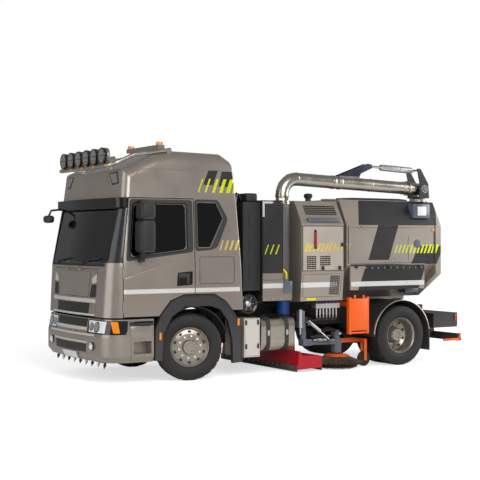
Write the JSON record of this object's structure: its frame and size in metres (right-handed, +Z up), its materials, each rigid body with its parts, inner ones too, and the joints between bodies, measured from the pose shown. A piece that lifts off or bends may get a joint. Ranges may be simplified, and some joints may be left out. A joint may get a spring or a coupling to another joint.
{
  "type": "street sweeper truck",
  "caption": "Two-axle cab-over suction sweeper truck with tilting cab, tipping hopper, swinging wander-hose boom, side brush and lifting nozzle.",
  "frame": {"origin": "on the ground below the middle of the truck's length", "axes": "+X forward, +Y to the truck's left, +Z up"},
  "size_m": [6.92, 3, 3.65],
  "materials": {
    "paint": "metallic taupe paint",
    "dark_panel": "dark grey paint",
    "pale_paint": "pale beige-grey paint",
    "frame_paint": "black chassis paint",
    "plastic": "black moulded plastic",
    "trim_grey": "dark grey moulded plastic",
    "tyre": "black tyre rubber",
    "wheel": "silver wheel paint",
    "glass": "dark tinted glass",
    "lamp": "clear lamp lenses",
    "steel": "polished stainless steel",
    "aluminium": "bright aluminium",
    "iron": "dark cast metal",
    "hose": "grey ribbed hose",
    "slate": "slate grey paint",
    "orange": "orange paint",
    "red": "dark red paint",
    "blue": "blue moulded duct",
    "bristle": "brown tines",
    "cloth": "dark seat cloth"
  },
  "bodies": {
    "chassis": {"frame_rails": "frame_paint", "front_axle": "frame_paint", "rear_axle": "frame_paint", "driveline": "iron", "bumper": "paint", "road_lamps": "lamp", "cab_steps": "paint", "mudguards": "trim_grey", "fuel_tank": "aluminium", "battery_box": "aluminium", "silencer": "frame_paint", "air_stack": "plastic", "hose_reel": "plastic", "water_tank": "dark_panel", "suction_duct": "blue", "valve_block": "steel", "ladder": "orange", "rear_underrun": "frame_paint"},
    "cab": {"cab_front": "paint", "cab_sides": "paint", "cab_back": "paint", "cab_roof": "paint", "cab_floor": "plastic", "cab_glass": "glass", "seats": "cloth", "dashboard": "trim_grey", "sun_visor": "plastic", "light_bar": "steel"},
    "lid": {"front_lid": "pale_paint"},
    "left_door": {"door_left": "paint", "door_glass_left": "glass", "mirror_left": "trim_grey"},
    "right_door": {"door_right": "paint", "door_glass_right": "glass", "mirror_right": "trim_grey"},
    "left_knuckle": {"knuckle_left": "frame_paint"},
    "right_knuckle": {"knuckle_right": "frame_paint"},
    "front_left_wheel": {"tyre_front_left": "tyre", "rim_front_left": "wheel"},
    "front_right_wheel": {"tyre_front_right": "tyre", "rim_front_right": "wheel"},
    "rear_left_wheel": {"tyres_rear_left": "tyre", "rims_rear_left": "wheel"},
    "rear_right_wheel": {"tyres_rear_right": "tyre", "rims_rear_right": "wheel"},
    "hopper": {"hopper_shell": "paint", "hopper_skirts": "dark_panel", "fan_cowl": "paint"},
    "tail_door": {"rear_door": "paint"},
    "post": {"boom_post": "dark_panel"},
    "boom": {"boom_pipe": "steel"},
    "hose": {"wander_hose": "hose"},
    "cylinder": {"boom_cylinder": "dark_panel"},
    "rod": {"boom_rod": "steel"},
    "brush_mast": {"brush_post": "slate"},
    "brush_carrier": {"brush_arm": "slate"},
    "brush": {"side_brush": "bristle"},
    "guide": {"guide_wheel": "tyre"},
    "nozzle": {"suction_nozzle": "red"}
  },
  "joints": [
    {"name": "cab_tilt", "type": "hinge", "parent": "chassis", "child": "cab", "pos_m": [3.305, 0, 0.6], "axis": [0, 1, 0], "range_deg": [0, 50]},
    {"name": "lid_lift", "type": "hinge", "parent": "cab", "child": "lid", "pos_m": [3.392, 0, 1.692], "axis": [0, -1, 0], "range_deg": [0, 60]},
    {"name": "door_left_swing", "type": "hinge", "parent": "cab", "child": "left_door", "pos_m": [3.126, 1.216, 1.5], "axis": [0, 0, -1], "range_deg": [0, 75]},
    {"name": "door_right_swing", "type": "hinge", "parent": "cab", "child": "right_door", "pos_m": [3.126, -1.216, 1.5], "axis": [0, 0, 1], "range_deg": [0, 75]},
    {"name": "steer_left", "type": "hinge", "parent": "chassis", "child": "left_knuckle", "pos_m": [1.93, 0.93, 0.507], "axis": [0, 0, 1], "range_deg": [-20, 52]},
    {"name": "steer_right", "type": "hinge", "parent": "chassis", "child": "right_knuckle", "pos_m": [1.93, -0.93, 0.507], "axis": [0, 0, 1], "range_deg": [-20, 52]},
    {"name": "front_left_spin", "type": "hinge", "parent": "left_knuckle", "child": "front_left_wheel", "pos_m": [1.95894, 1.03093, 0.507], "axis": [0.2756, 0.9613, 0], "continuous": true},
    {"name": "front_right_spin", "type": "hinge", "parent": "right_knuckle", "child": "front_right_wheel", "pos_m": [1.90106, -1.03093, 0.507], "axis": [0.2756, 0.9613, 0], "continuous": true},
    {"name": "rear_left_spin", "type": "hinge", "parent": "chassis", "child": "rear_left_wheel", "pos_m": [-2.07, 0.9215, 0.507], "axis": [0, 1, 0], "continuous": true},
    {"name": "rear_right_spin", "type": "hinge", "parent": "chassis", "child": "rear_right_wheel", "pos_m": [-2.07, -0.9215, 0.507], "axis": [0, 1, 0], "continuous": true},
    {"name": "body_tip", "type": "hinge", "parent": "chassis", "child": "hopper", "pos_m": [-2.75, 0, 1.1], "axis": [0, -1, 0], "range_deg": [0, 48]},
    {"name": "tail_door_open", "type": "hinge", "parent": "hopper", "child": "tail_door", "pos_m": [-2.88, 0, 2.835], "axis": [0, 1, 0], "range_deg": [0, 85]},
    {"name": "boom_slew", "type": "hinge", "parent": "hopper", "child": "post", "pos_m": [-2.69, 0.95, 2.85], "axis": [0, 0, 1], "range_deg": [0, 110]},
    {"name": "boom_lift", "type": "hinge", "parent": "post", "child": "boom", "pos_m": [-2.69, 0.95, 3.01], "axis": [0, -1, 0], "range_deg": [0, 14]},
    {"name": "hose_hang", "type": "hinge", "parent": "boom", "child": "hose", "pos_m": [0.18, 0.95, 2.785], "axis": [0, -1, 0], "range_deg": [-14.5, 0.5]},
    {"name": "cylinder_swing", "type": "hinge", "parent": "post", "child": "cylinder", "pos_m": [-2.56, 0.95, 3.33], "axis": [0, -1, 0], "range_deg": [-0.5, 17.36]},
    {"name": "rod_slide", "type": "slide", "parent": "cylinder", "child": "rod", "axis": [0.999, 0, 0.0454], "range_m": [-0.0726, 0.002]},
    {"name": "brush_swing", "type": "hinge", "parent": "chassis", "child": "brush_mast", "pos_m": [-0.21, 0.98, 0.6], "axis": [0, 0, -1], "range_deg": [-12, 4]},
    {"name": "brush_lift", "type": "hinge", "parent": "brush_mast", "child": "brush_carrier", "pos_m": [-0.3, 0.98, 0.45], "axis": [0, 1, 0], "range_deg": [0, 6]},
    {"name": "brush_spin", "type": "hinge", "parent": "brush_carrier", "child": "brush", "pos_m": [-0.91, 0.95, 0.2], "axis": [0, 0, 1], "continuous": true},
    {"name": "guide_spin", "type": "hinge", "parent": "brush_carrier", "child": "guide", "pos_m": [-1.44, 1, 0.131], "axis": [0, 1, 0], "continuous": true},
    {"name": "nozzle_lift", "type": "slide", "parent": "chassis", "child": "nozzle", "axis": [0, 0, 1], "range_m": [0, 0.06]}
  ],
  "couplings": [
    {"joint": "steer_right", "follows": "steer_left", "ratio": 1},
    {"joint": "hose_hang", "follows": "boom_lift", "ratio": -1},
    {"joint": "cylinder_swing", "follows": "boom_lift", "ratio": 1.1968},
    {"joint": "rod_slide", "follows": "boom_lift", "m_per_rad": -0.28874}
  ]
}
